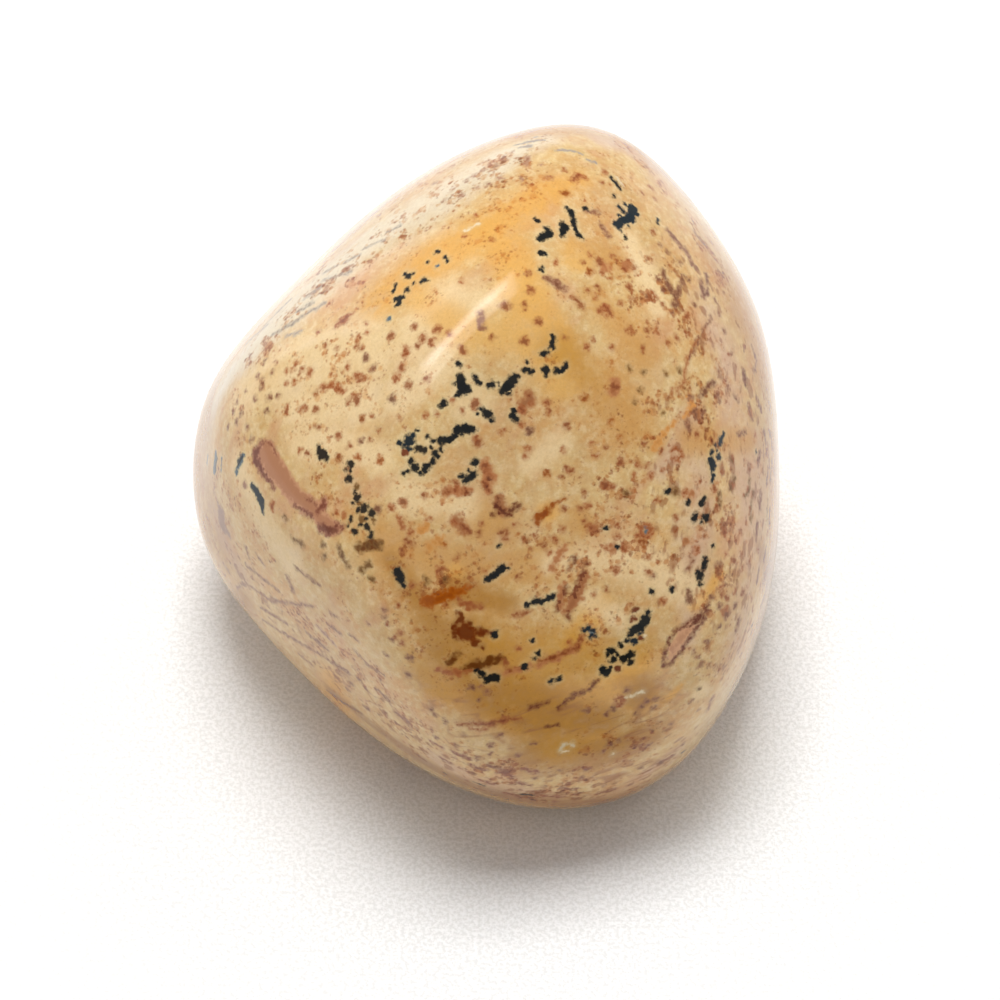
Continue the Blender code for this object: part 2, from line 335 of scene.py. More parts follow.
FLECKS = {
    "rust, middle left": ("rust", [
        (478, 443, 4.2), (476, 438, 3), (485, 466, 4), (488, 472, 3), (486, 484, 4), (489, 490, 3),
        (466, 491, 3.3), (455, 491, 2.8), (447, 492, 3), (455, 483, 2.8), (457, 488, 2), (476, 404, 4.4),
        (453, 401, 2), (462, 410, 2.5), (463, 350, 3.6), (414, 327, 3.3), (437, 329, 3.3), (449, 334, 3),
        (422, 338, 3.7), (431, 342, 3.3), (406, 350, 3.8), (417, 346, 3), (405, 354, 3.3),
        (402, 368, 3.8), (391, 336, 4), (409, 385, 2.8), (396, 378, 3.8), (426, 380, 2.4),
        (437, 414, 1.8), (425, 415, 1.8), (400, 418, 1.8), (391, 507, 3.3), (404, 502, 4),
        [(398, 518, 2.2), (402, 526, 2.3)], (424, 496, 2.4), (429, 519, 1.5), (410, 533, 2.4),
        (408, 541, 2.8), (412, 545, 1.8), (403, 551, 2.4), (440, 570, 3), (458, 558, 2.3)]),
    "rust, middle": ("rust", [
        (524, 341, 4), (493, 337, 2.4), (525, 305, 3.2), (505, 306, 4.4), (528, 273, 2.8),
        (530, 290, 3.6), (538, 322, 3.5), (556, 262, 2), (492, 239, 2.3), (465, 236, 1.8),
        (461, 281, 1.8), (475, 215, 1.8), (502, 432, 2.4), (529, 394, 2.8), (531, 404, 2.4),
        (522, 410, 3.6), (548, 403, 2.8), (548, 411, 2), (521, 424, 2.3), (567, 426, 3.4),
        (563, 450, 2.3), (571, 471, 3), (566, 469, 2), (561, 477, 2.4), (528, 448, 2.8), (526, 457, 2),
        (584, 493, 2.8), (587, 506, 2.8), (580, 509, 2), (564, 509, 2.6), (518, 577, 2), (594, 594, 2.4),
        (616, 570, 3.6), (606, 589, 2), (591, 527, 3.6), (595, 531, 2.4), (617, 525, 2), (585, 522, 1.5),
        (606, 548, 3.2), (624, 548, 3.5), (617, 537, 2.3)]),
    "rust, middle low": ("rust", [
        [(453, 519, 2.2), (456, 523, 2.6)], [(461, 525, 2.4), (468, 531, 3.4)], (479, 533, 2.4),
        (482, 524, 2.4), (501, 532, 2.1), (507, 532, 2.1), (505, 538, 2.6), (515, 525, 2),
        (525, 539, 2.4), (544, 545, 2.8), (553, 538, 2.8), [(515, 615, 2.2), (528, 612, 2.3)],
        (518, 648, 2.6), (484, 571, 1.8), (411, 585, 2.8), (398, 606, 2), (387, 624, 2), (400, 633, 2.8),
        (395, 637, 2), (402, 643, 2.7), (557, 541, 2), (549, 552, 2.2), (536, 536, 1.8), (530, 548, 1.8),
        (562, 529, 2)]),
    "dark rust, middle": ("dark red", [
        [(499, 498, 2.2), (498, 507, 2.8), (502, 512, 2.3), (510, 513, 2.2), (518, 505, 2.6)],
        (493, 515, 2.6), (487, 487, 2.3), (489, 478, 2), (467, 492, 1.8)]),
    "rust, upper right": ("rust", [
        [(574, 298, 2.5), (582, 306, 2.5)], (600, 262, 4), (602, 274, 3), (598, 287, 2.8),
        (610, 278, 1.5), (629, 261, 2.8), (634, 268, 2.6), (624, 268, 3), (629, 287, 3.6), (632, 298, 2),
        (620, 303, 2), [(600, 311, 2.4), (605, 307, 2.6), (611, 313, 2.6)], (606, 316, 1.8),
        (663, 304, 2.4), (647, 329, 1.5), (656, 332, 2), (643, 349, 2.4), (668, 343, 2.4),
        (677, 337, 2.4), (650, 187, 3), (642, 193, 1.8), (655, 199, 2), (653, 232, 2.8), (564, 170, 2),
        (605, 172, 2.8), (602, 183, 2), (550, 177, 2), [(573, 180, 3), (579, 175, 2.4), (585, 178, 2)],
        (744, 346, 1.5), (729, 354, 1.8), (687, 317, 3.8), (687, 333, 2), (614, 388, 4.2),
        (587, 347, 2.8), (565, 338, 1.8), (593, 339, 1.8), (612, 348, 2.8), (590, 255, 2),
        (583, 262, 1.8), (612, 255, 1.8), (617, 262, 2), (595, 297, 2), (588, 290, 2.2)]),
    "mauve, upper right": ("mauve", [
        [(546, 278, 3), (555, 283, 3.3), (564, 288, 3)], [(663, 272, 2), (669, 285, 2.4),
         (675, 297, 3.4)], [(684, 276, 2), (679, 290, 2), (675, 306, 2.4)], [(667, 230, 2),
         (675, 239, 2.4), (687, 253, 2.6)], [(687, 253, 2.4), (692, 264, 2.8)], [(695, 233, 2),
         (702, 242, 2)], [(701, 281, 2), (704, 296, 2.2), (707, 293, 2), (707, 275, 2)], (690, 280, 2),
        (696, 268, 2.2), [(711, 317, 1.1), (702, 333, 1.3), (689, 359, 1.1)], [(601, 224, 2),
         (607, 235, 2.3)], [(586, 211, 1.6), (597, 212, 1.6)], (668, 252, 2), (660, 245, 1.8),
        (680, 262, 2.2), (672, 312, 2), (663, 290, 2.2), (658, 280, 2), (695, 305, 2), (715, 300, 2),
        (719, 315, 1.8), (724, 330, 2)]),
    "rings, upper right": ("rust", [
        [(649, 295, 1.4), (653, 293, 1.4), (656, 297, 1.4), (653, 300, 1.4), (649, 298, 1.4)],
        [(626, 330, 1.3), (630, 327, 1.3), (633, 331, 1.3), (630, 334, 1.3)]]),
    "brown curve, right": ("soft rust", [
        [(705, 330, 1.2), (696, 344, 1.3), (688, 358, 1.4), (685, 372, 1.5), (684, 382, 1.7),
         (678, 390, 1.6)], [(671, 391, 1.8), (673, 397, 1.6)]]),
    "olive dots, right": ("olive", [
        (630, 368, 2), (643, 349, 1.8), (644, 372, 2), (666, 374, 2.2), (680, 370, 2.2), (641, 391, 2.2),
        (663, 413, 2.2), (626, 494, 2.8), (676, 492, 4), (700, 688, 2.4), (635, 402, 1.6)]),
    "left flecks": ("rust", [
        [(286, 412, 3.2), (287, 405, 1.6)], (300, 410, 2.4), (305, 408, 2.3), (316, 410, 3.5),
        (372, 416, 2), (379, 430, 2), (318, 427, 2.8), (339, 436, 3.6), (349, 446, 2.4), (300, 451, 2.4),
        (308, 454, 2.8), [(322, 388, 2.6), (331, 385, 2.4), (338, 388, 3), (344, 391, 2.4)],
        (296, 363, 2), (286, 371, 2.4), (293, 369, 2), (310, 372, 3.2), (302, 369, 2.4), (276, 363, 1.5),
        (286, 384, 2.4), (326, 346, 1.8), (337, 349, 1.8), (318, 332, 2.4), [(336, 326, 2.3),
         (344, 320, 2.8), (351, 315, 2.3)], (366, 323, 1.5), (367, 332, 2), (359, 338, 2),
        (356, 346, 2.4), (361, 350, 2), (348, 366, 2.8), (361, 378, 4.4), (357, 375, 3), (357, 400, 4),
        (348, 402, 2.4), (353, 396, 2.2), (344, 514, 2), (370, 440, 1.8)]),
    "left flecks, mauve": ("mauve", [
        [(262, 380, 2), (262, 388, 2.4)], (258, 376, 1.8), (269, 398, 2.8), (278, 396, 2),
        (266, 411, 2.4), (255, 398, 2), (237, 402, 1.5), (241, 414, 2.4), (237, 422, 2.8), (228, 427, 2),
        (247, 427, 2), (361, 441, 2.4), (366, 358, 3.4), (373, 369, 3.4), (392, 399, 4), (530, 431, 4),
        (377, 510, 3.4), (252, 440, 1.8), (233, 412, 1.6), (246, 391, 1.8), (272, 372, 1.8),
        (265, 362, 1.6)]),
    "left streaks": ("olive", [
        [(339, 545, 2), (342, 556, 2.4), (348, 566, 2)], (323, 544, 2.3), (324, 557, 2.8),
        (285, 518, 2.3), [(293, 539, 2.3), (302, 544, 2.4)], (359, 547, 3.4), (368, 545, 4),
        (378, 545, 4), (368, 565, 3.6), (362, 570, 2.8), (372, 579, 2.8), (426, 581, 2.8),
        (446, 580, 2.4)]),
    "lower left lines": ("mauve", [
        [(246, 565, 1.2), (265, 580, 1.5), (279, 591, 1.2)], [(224, 564, 1.2), (229, 572, 1.4)],
        [(246, 547, 1.3), (249, 557, 1.4)], [(256, 553, 1.3), (263, 564, 1.5)], [(287, 576, 1.8),
         (293, 592, 2.2)], [(296, 568, 1.3), (318, 584, 1.5)], [(313, 606, 1.3), (270, 600, 1.6),
         (246, 583, 1.4), (237, 588, 1.2)], [(331, 614, 2), (337, 617, 2.2)], [(328, 624, 1.8),
         (339, 632, 2)], [(350, 635, 1.4), (358, 641, 1.5)], [(356, 652, 1.2), (367, 664, 1.4),
         (384, 675, 1.2)], [(348, 672, 2.4), (333, 663, 1.5), (318, 653, 1.5)], [(318, 653, 1.4),
         (287, 635, 1.5), (263, 620, 1.2)], [(260, 607, 1.4), (273, 615, 1.6), (286, 623, 1.4)],
        [(307, 633, 1.8), (317, 641, 2.2), (327, 649, 1.8)], (359, 679, 2.6), (353, 685, 1.8),
        (348, 690, 1.8), [(327, 690, 1.3), (342, 702, 1.5), (361, 713, 1.3)], (408, 675, 3),
        (410, 658, 3.4), (385, 609, 2), (384, 617, 2), (387, 624, 1.8), (392, 640, 2.3), (368, 623, 1.5),
        (386, 655, 2), (367, 708, 3.2), [(377, 690, 1.5), (389, 700, 1.6)], [(395, 712, 1.4),
         (409, 722, 1.6)], [(300, 655, 1.3), (311, 664, 1.4)]]),
    "grey streak, lower left": ("pale mauve", [[(318, 627, 2.8), (326, 635, 3.4), (333, 643, 2.8)]]),
    # Thin grey lines inside the painted reflection at the upper left.
    "upper left veil": ("lilac grey", [
        [(364, 248, 1.3), (384, 240, 1.4)], [(325, 272, 1.3), (336, 266, 1.4)], [(322, 281, 1.3),
         (350, 272, 1.5)], [(305, 298, 1.3), (322, 286, 1.4)], [(266, 324, 1.3), (290, 300, 1.4)],
        [(246, 344, 1.3), (266, 326, 1.4)], [(272, 335, 1.3), (293, 323, 1.5), (325, 303, 1.3)],
        [(286, 336, 1.3), (302, 332, 1.3)], [(345, 262, 1.2), (358, 256, 1.3)], [(297, 312, 1.2),
         (312, 303, 1.3)], [(388, 232, 1.3), (400, 225, 1.4)]]),
    "upper edge": ("pale mauve", [
        (435, 183, 2), (475, 175, 2.4), (467, 180, 2), (495, 166, 2), (500, 178, 2), (487, 184, 2),
        (477, 187, 1.8), (521, 179, 2), [(527, 158, 2.4), (527, 164, 2)], (452, 190, 1.8),
        (462, 195, 1.6), (505, 160, 1.8), (512, 152, 1.6), (540, 165, 1.8), (483, 170, 1.6),
        (445, 200, 1.6)]),
    "lower middle, mauve": ("mauve", [
        (472, 688, 2.8), (481, 686, 2), (487, 692, 2.8), (480, 699, 2), (431, 709, 2.8), (435, 715, 2.8),
        (431, 729, 1.5), (437, 738, 2.3), (585, 710, 2.4), (613, 708, 2.8), (607, 714, 2.8),
        (627, 690, 2.8), (646, 702, 2.4), (654, 708, 2.8), (655, 699, 2.3), (637, 713, 2),
        (642, 707, 2.3), (610, 745, 2.8), (619, 740, 2.1), (603, 751, 2.1), (587, 769, 2),
        (490, 745, 2.8), (477, 758, 2.8), (490, 754, 2.4), [(490, 765, 1.8), (506, 771, 2)],
        (518, 756, 2), (533, 743, 2), (535, 778, 2), (581, 778, 2), (604, 786, 1.5), (472, 773, 2.3),
        (510, 778, 1.5), (555, 802, 2.6), (671, 724, 2.3), (660, 763, 3.2), (631, 784, 1.5),
        (683, 744, 1.5), (455, 745, 2), (463, 735, 1.8), (445, 722, 1.8), (520, 790, 1.6),
        (545, 786, 1.6), (560, 770, 1.8), (575, 790, 1.6), (648, 745, 1.8), (640, 768, 1.6),
        (500, 735, 1.8)]),
    "rings, lower right": ("rust", [
        [(615, 699, 1.5), (620, 697, 1.5), (623, 702, 1.5), (619, 705, 1.5), (615, 702, 1.5)],
        [(642, 527, 1.6), (648, 525, 1.6), (651, 531, 1.6), (648, 536, 1.6), (642, 535, 1.6),
         (641, 530, 1.6)], [(672, 451, 1.5), (675, 448, 1.5), (680, 450, 1.5), (682, 455, 1.5),
         (679, 460, 1.5), (672, 458, 1.5)]]),
    "thin red lines": ("dark red", [
        [(598, 681, 1.6), (588, 690, 1.8), (575, 695, 1.6), (565, 702, 1.8), (559, 709, 1.4)],
        [(547, 702, 1.6), (530, 708, 1.6)], [(558, 724, 1), (545, 727, 1)]]),
    "almond": ("maroon", [
        [(702, 612, 1.2), (689, 622, 1.4), (676, 631, 1.4), (669, 641, 1.4), (665, 652, 1.4),
         (663, 665, 1.3)], [(706, 610, 1.2), (703, 618, 1.4), (697, 628, 1.5), (690, 638, 1.4),
         (683, 649, 1.4), (674, 659, 1.3), (664, 667, 1.2)], [(701, 614, 2), (697, 620, 3),
         (691, 626, 2)], [(706, 609, 1.2), (708, 604, 0.9)]]),
    "spindle": ("rust", [
        [(458, 724, 1.4), (478, 724, 2.2), (489, 724, 2.8), (504, 720, 3.6), (521, 718, 1.4)],
        [(470, 729, 1.2), (486, 730, 1.4)]]),
    "brown line": ("rust", [
        [(539, 661, 2), (553, 657, 2.8), (567, 652, 2.3), (578, 646, 2.2), (582, 637, 1.8)],
        (570, 642, 2)]),
    "right side, rust": ("rust", [
        (715, 489, 3.4), (718, 499, 2), (717, 508, 3), (685, 493, 3.4), (637, 536, 2.8), (620, 462, 3.5),
        (646, 466, 2.4), (638, 465, 2), (651, 476, 2.8), (662, 470, 2), (656, 501, 2.4), (634, 475, 2),
        (661, 451, 2), (676, 518, 2.8), (675, 530, 2.7), (648, 556, 3), (648, 572, 3.8), (663, 601, 2.8),
        (697, 549, 3.8), (724, 532, 3.6), (722, 522, 2), (733, 459, 2.3), (722, 472, 2.3), (733, 484, 3),
        (748, 489, 2.6), (752, 495, 2), (744, 495, 2), (755, 435, 2), (750, 509, 1.5), (697, 434, 2.8),
        (726, 555, 2), (733, 559, 3), (718, 572, 3.5), (720, 588, 2.8), (722, 595, 2.8), (727, 599, 2.7),
        (727, 609, 2.8), (735, 590, 2), (743, 593, 3.5), (752, 599, 2), (753, 609, 2), (750, 560, 2.3),
        (758, 550, 2), (742, 568, 2), (765, 578, 2), (741, 532, 2), (768, 532, 1.8), (645, 443, 2),
        (605, 485, 4), (611, 486, 2.8), (606, 446, 2), (597, 455, 2.8), (591, 444, 2.3)]),
    "right side, dark": ("mauve", [
        [(688, 590, 2.3), (689, 601, 2.6)], [(692, 558, 1.8), (688, 570, 1.8)], (711, 597, 2.8),
        (720, 606, 2.8), (726, 615, 3.6), (735, 606, 2.8), [(739, 620, 3.2), (736, 632, 2)],
        (752, 625, 2.3), (745, 642, 1.5), (741, 655, 1.5), (698, 657, 2), (700, 665, 1.5), (694, 652, 2),
        (707, 642, 2), (719, 627, 2), (691, 701, 2), [(712, 698, 1.6), (708, 710, 1.6)], (699, 710, 1.5),
        (717, 565, 2.3), (653, 577, 2), [(695, 411, 1.8), (696, 418, 2.2)], [(704, 410, 1.8),
         (703, 415, 1.6)], [(689, 429, 2), (687, 422, 1.6)], [(699, 397, 2.2), (709, 386, 2.8),
         (714, 381, 2)], [(719, 372, 2.6), (720, 376, 1.8)], [(692, 398, 2), (688, 396, 1.8)],
        [(734, 395, 1.6), (738, 401, 1.6)], [(748, 405, 2), (752, 418, 2.4)], [(745, 431, 1.6),
         (738, 436, 1.6)], [(717, 396, 1.4), (718, 401, 1.5)], [(728, 386, 1.3), (729, 392, 1.3)],
        [(757, 361, 1.2), (754, 372, 1.5)], [(744, 346, 1), (744, 350, 1)], [(729, 354, 1),
         (732, 353, 1)]]),
    "right side, late streaks": ("olive", [
        [(734, 478, 2), (731, 489, 2.2)], [(750, 480, 1.3), (749, 490, 1.6), (745, 496, 1.3)],
        [(753, 492, 1.3), (752, 502, 1.4)], [(772, 460, 1), (770, 482, 1.1)], [(720, 492, 1.6),
         (719, 505, 2)], [(730, 459, 1.5), (732, 461, 1.5)], [(751, 508, 1.1), (751, 522, 1.1)],
        [(768, 500, 1), (767, 520, 1)]]),
    "brush stroke, dark rims": ("plum", [
        [(260, 443, 2.6), (256, 452, 4.5), (256, 460, 5), (261, 469, 4), (268, 479, 2.6),
         (274, 488, 1.6)], [(264, 441, 2), (273, 446, 1.8), (276, 455, 1.4)], [(295, 505, 1.8),
         (303, 511, 2.6), (312, 517, 3)], [(325, 500, 3), (323, 506, 4), (318, 512, 3)], [(319, 527, 4),
         (328, 530, 5), (337, 530, 3.4)], [(336, 526, 3), (343, 528, 2)], [(306, 498, 1.4),
         (316, 503, 1.8)]]),
    "low rim dashes": ("plum", [
        [(430, 741, 1.8), (441, 747, 2)], [(454, 752, 1.8), (468, 758, 2)], [(470, 765, 2),
         (486, 770, 2.2)], [(499, 772, 1.8), (514, 777, 2.2)], [(480, 780, 1.8), (493, 784, 2)],
        [(524, 769, 1.8), (536, 772, 2)], [(505, 793, 1.8), (520, 797, 2)], [(545, 796, 1.8),
         (562, 797, 2.2)], [(560, 788, 1.6), (577, 789, 1.8)], [(598, 794, 1.8), (614, 789, 2)],
        [(520, 783, 1.5), (530, 785, 1.5)], [(440, 757, 1.8), (450, 763, 1.8)]]),
    "right rim ticks": ("maroon", [
        [(757, 398, 1.6), (761, 410, 2)], [(764, 430, 1.6), (766, 444, 2)], [(760, 452, 1.6),
         (758, 464, 2.2)], [(768, 470, 1.6), (767, 484, 2)], [(761, 494, 1.8), (760, 508, 2.2)],
        [(770, 510, 1.4), (769, 522, 1.8)], [(757, 524, 1.8), (756, 536, 2)], [(766, 548, 1.6),
         (764, 560, 2)], [(759, 570, 1.8), (757, 582, 2)], [(764, 596, 1.6), (761, 606, 1.8)],
        [(752, 346, 1.6), (755, 356, 1.8)], [(744, 372, 1.8), (746, 386, 2)]]),
    "orange flecks": ("orange", [
        (584, 398, 3), (548, 473, 2.6), (362, 419, 3.2), (315, 393, 2.3), (295, 382, 2.7), (339, 458, 3),
        (359, 457, 2.8), (380, 460, 3.4), [(273, 503, 2.2), (272, 508, 2.4)], (565, 193, 3.2),
        (590, 272, 3.8), (643, 542, 3.6), (444, 545, 2.2), (620, 437, 2), (611, 421, 2)]),
}

BLURS = {
    "brush stroke": ("brick", [
        [(264, 447, 6.5), (265, 453, 12), (271, 463, 12.5), (279, 474, 12), (288, 487, 11),
         (297, 497, 10), (308, 505, 9.5), (318, 511, 9)], [(320, 507, 6), (325, 501, 3)], [(318, 515, 9),
         (325, 523, 8.5), (334, 529, 6), (342, 529, 2.6)]]),
    "brown dash under the left grains": ("umber", [[(358, 549, 2.4), (368, 545, 4), (379, 545, 3.4)]]),
    "mauve patch, left": ("pale mauve", [
        (244, 484, 4.5), [(221, 512, 9), (222, 524, 9)], (228, 533, 6)]),
    "orange dash": ("orange", [
        [(427, 601, 6.5), (440, 597, 6), (452, 593, 4.8), (463, 590, 3), (474, 587, 1.4)]]),
    "rust trail under it": ("rust", [
        [(457, 597, 2.2), (461, 603, 2.6), (470, 606, 3), (482, 606, 2.6)]]),
    "orange leaf": ("orange", [
        [(537, 522, 2.6), (540, 517, 4.2), (546, 511, 4), (553, 505, 2.2), (566, 499, 1)]]),
    "dark rust blob": ("dark rust", [
        [(467, 634, 8.5), (464, 630, 8)], [(459, 617, 3.4), (456, 627, 2.6), (456, 638, 3)],
        (482, 632, 3.4), (482, 646, 2), (474, 642, 4), (470, 624, 4), [(478, 632, 3), (489, 633, 2.8)]]),
    "brown streak": ("umber", [
        [(447, 664, 2), (452, 658, 2.6), (457, 654, 2)], [(462, 669, 3), (474, 666, 4), (489, 661, 4.6),
         (501, 659, 4)]]),
    "brown line to the ring": ("soft rust", [
        [(502, 674, 2.2), (520, 669, 2.2), (540, 664, 2.4), (558, 657, 2.8), (572, 650, 2.6),
         (580, 643, 1.6)]]),
    "brown streak, ends": ("rust", [
        [(438, 670, 1.8), (458, 672, 2.6), (474, 668, 3.4)], [(501, 659, 3), (510, 670, 2),
         (520, 668, 1.6)]]),
    "big red streak": ("dark red", [
        [(584, 573, 3), (579, 587, 3.4), (574, 600, 3.6), (568, 611, 3), (570, 620, 2)], (587, 564, 2),
        [(566, 588, 2.2), (560, 600, 2.6), (558, 609, 2)], [(573, 559, 2.2), (570, 567, 2)]]),
    "big red streak, halo": ("soft rust", [
        [(567, 544, 2), (561, 553, 3.4), (553, 567, 3.8)], [(585, 576, 4), (576, 598, 4.6),
         (566, 612, 4)], [(563, 585, 3), (560, 606, 3.4)]]),
    "almond, inside": ("salmon", [[(692, 624, 3), (684, 634, 5.5), (675, 648, 5.5), (669, 658, 2.6)]]),
    "orange, above right": ("soft orange", [
        [(676, 420, 2), (664, 434, 3), (654, 449, 3)], [(684, 415, 2), (692, 405, 2.4), (688, 396, 2)]]),
    "soft orange, left": ("soft orange", [
        [(430, 545, 4), (440, 541, 4)], (424, 527, 3.6), [(420, 530, 3), (426, 524, 3)]]),
    "rust cloud under the curl": ("soft rust", [
        [(484, 462, 4), (490, 476, 5), (488, 490, 4)], [(446, 490, 3.4), (460, 492, 4), (470, 490, 3)],
        [(456, 520, 4), (464, 528, 5)], [(499, 500, 5), (503, 512, 5)], [(522, 409, 5), (530, 398, 5)]]),
    "rust cloud, right": ("soft rust", [
        [(614, 383, 4.5), (614, 391, 5.4)], (687, 542, 4.6), (691, 496, 4.6), (604, 486, 3.2),
        (592, 529, 4), (724, 611, 4.4), (696, 412, 4.2), (750, 412, 4.4), (612, 547, 4), (606, 268, 5),
        (628, 266, 4.4)]),
    "ring centres": ("slate", [(592, 632, 1.8), (646, 530, 2.4)]),
    "mauve in the sheen": ("mauve", [[(481, 316, 3.6), (481, 326, 3.6)]]),
}

# Soft zones, as strokes of (x, y, radius) in pixels of the photo, with their strength. Most are zones of
# colour; the one along the upper left edge is a painted reflection, a pale sheen. "dull" has less gloss,
# "rim" is painted shade that darkens the stone's outer edges, and "specks", "ticks", "dashes" and "bands"
# say where those patterns are thick.
WASHES = {
    "pale": (1.0, [
        [(245, 395, 34), (300, 365, 40), (370, 350, 40)], [(300, 405, 34), (360, 400, 36)],
        [(410, 345, 30), (445, 300, 30), (490, 300, 20)], [(400, 395, 26), (450, 360, 24)],
        [(470, 400, 26)], [(630, 240, 16), (655, 300, 20)], [(550, 562, 17), (630, 560, 26),
         (690, 590, 22)], [(300, 440, 22), (350, 445, 22), (380, 460, 20)], [(405, 495, 22),
         (465, 505, 20)], [(560, 440, 17), (530, 466, 15)], [(700, 690, 16)], [(240, 470, 24),
         (290, 560, 30)], [(590, 600, 16), (620, 620, 12)]]),
    # A painted reflection: a pale sheen laid along the upper left edge.
    "painted_reflection": (1.0, [
        [(214, 405, 14), (256, 345, 32), (312, 290, 40), (372, 240, 42), (432, 202, 40), (492, 166, 32),
         (545, 140, 14)]]),
    "dull": (1.0, [
        [(385, 300, 30), (430, 262, 36), (480, 240, 30)], [(395, 310, 24), (450, 270, 30)],
        [(450, 600, 24), (470, 650, 30), (510, 700, 36), (560, 735, 40), (620, 730, 34)],
        [(560, 660, 30), (630, 660, 24)]]),
    "golden": (1.0, [
        [(420, 300, 18), (470, 335, 26), (510, 330, 30), (545, 345, 32), (560, 385, 26)],
        [(575, 258, 24)], [(520, 290, 30)]]),
    "honey": (0.9, [
        [(500, 640, 22), (570, 642, 26)], [(520, 658, 28), (600, 655, 28)], [(640, 645, 20)],
        [(440, 690, 26), (400, 640, 12)], [(560, 750, 30)], [(560, 350, 26), (590, 375, 18)]]),
    # Painted shade, which darkens the stone towards its outer edges as the camera sees them.
    "rim": (1.0, [
        [(722, 270, 50), (765, 360, 80), (776, 430, 105), (779, 490, 110), (776, 550, 95),
         (768, 610, 60)], [(205, 420, 60), (194, 470, 90), (197, 520, 70)], [(470, 790, 30),
         (540, 806, 50), (610, 804, 50)], [(545, 128, 50), (600, 128, 60), (640, 150, 50)]]),
    "ticks": (1.0, [
        [(660, 250, 40), (700, 300, 50), (735, 360, 60), (750, 430, 80), (750, 500, 80), (745, 570, 70),
         (735, 640, 60)], [(690, 440, 50), (690, 520, 50), (690, 590, 40)]]),
    "dashes": (1.0, [
        [(240, 570, 50), (300, 640, 40), (380, 710, 40), (450, 765, 50), (530, 795, 60), (610, 795, 60),
         (670, 750, 50)]]),
    "ochre": (1.0, [
        [(380, 302, 24), (436, 258, 32), (492, 228, 34), (536, 200, 24), (582, 178, 13)],
        [(505, 250, 28), (525, 290, 27), (545, 335, 28)], [(455, 572, 10)], [(548, 512, 12)],
        [(600, 606, 16), (575, 640, 16)], [(520, 690, 24), (590, 700, 30), (640, 665, 20)],
        [(440, 690, 14), (520, 720, 24), (590, 735, 30)], [(720, 575, 8), (694, 605, 8)],
        [(640, 700, 20)], [(684, 682, 4), (671, 696, 7), (661, 706, 4)], [(655, 730, 3), (632, 753, 5),
         (619, 759, 3)]]),
    "tan": (0.9, [
        [(560, 350, 30), (600, 385, 36), (635, 430, 30)], [(600, 300, 24), (640, 350, 26)],
        [(580, 252, 24), (630, 262, 18)], [(430, 560, 26), (500, 570, 24), (570, 560, 26)],
        [(490, 610, 22)], [(440, 500, 24), (500, 530, 26)], [(360, 520, 26), (400, 560, 30)],
        [(580, 520, 20)], [(690, 440, 20), (750, 440, 16)], [(220, 430, 14), (215, 470, 14)]]),
    "brown": (0.86, [
        [(390, 560, 10), (420, 602, 16), (448, 645, 34), (490, 690, 42), (550, 715, 48), (600, 722, 30)],
        [(455, 592, 18), (505, 602, 16)], [(470, 640, 34), (505, 655, 22)], [(640, 695, 22)],
        [(540, 755, 36), (600, 755, 34), (650, 735, 24)]]),
    "rosy": (0.8, [
        [(700, 300, 26), (730, 380, 40), (750, 470, 60), (750, 560, 60), (735, 640, 40)],
        [(690, 420, 26), (700, 500, 34), (695, 570, 30), (690, 640, 20)], [(440, 760, 26),
         (520, 795, 26), (600, 800, 26), (670, 760, 26)], [(215, 520, 26), (240, 570, 20)],
        [(600, 140, 18), (680, 190, 14)], [(690, 430, 26), (660, 470, 18)]]),
    "umber": (0.9, [
        [(330, 690, 14), (400, 745, 18), (470, 784, 20), (540, 802, 22), (610, 800, 20), (670, 770, 18)]]),
    "specks": (0.7, [
        [(660, 300, 40), (700, 370, 40), (715, 460, 50), (715, 560, 46), (720, 640, 36)],
        [(600, 490, 44), (620, 560, 44), (560, 570, 36)], [(410, 520, 34), (430, 570, 34),
         (400, 630, 30)], [(360, 360, 44), (310, 380, 40)], [(480, 760, 30), (560, 780, 30),
         (640, 740, 40)], [(560, 290, 26), (610, 270, 34)], [(300, 620, 40), (380, 690, 40),
         (440, 740, 36), (540, 790, 30)], [(220, 480, 40), (250, 570, 40)], [(240, 380, 40),
         (330, 280, 30), (460, 190, 30), (560, 145, 26)], [(640, 160, 24), (720, 270, 30)],
        [(750, 330, 30), (770, 440, 34), (772, 560, 34), (750, 640, 30)]]),
    "bands": (1.0, [
        [(450, 720, 50), (540, 740, 60), (640, 720, 50)], [(300, 640, 40), (380, 700, 40)],
        [(560, 790, 40), (660, 760, 40)]]),
}


def facing(heading, slope):
    """The unit vector that points that way."""
    heading, slope = math.radians(heading), math.radians(slope)
    level = math.cos(slope)
    return Vector((level * math.cos(heading), level * math.sin(heading), math.sin(slope)))


def reach_of_stone(ways):
    """How far the worn surface lies from the heart along each of many unit vectors."""
    normals = np.array([facing(heading, slope) for heading, slope, reach in WORN_FLATS.values()])
    reaches = np.array([reach * MM for heading, slope, reach in WORN_FLATS.values()])
    shares = (np.maximum(ways @ normals.T, 0) / reaches) ** RIDGE_CRISPNESS
    return shares.sum(axis=1) ** (-1 / RIDGE_CRISPNESS)


def places_of(stone):
    """The places of a bmesh's points, one row each."""
    return np.array([point.co for point in stone.verts])


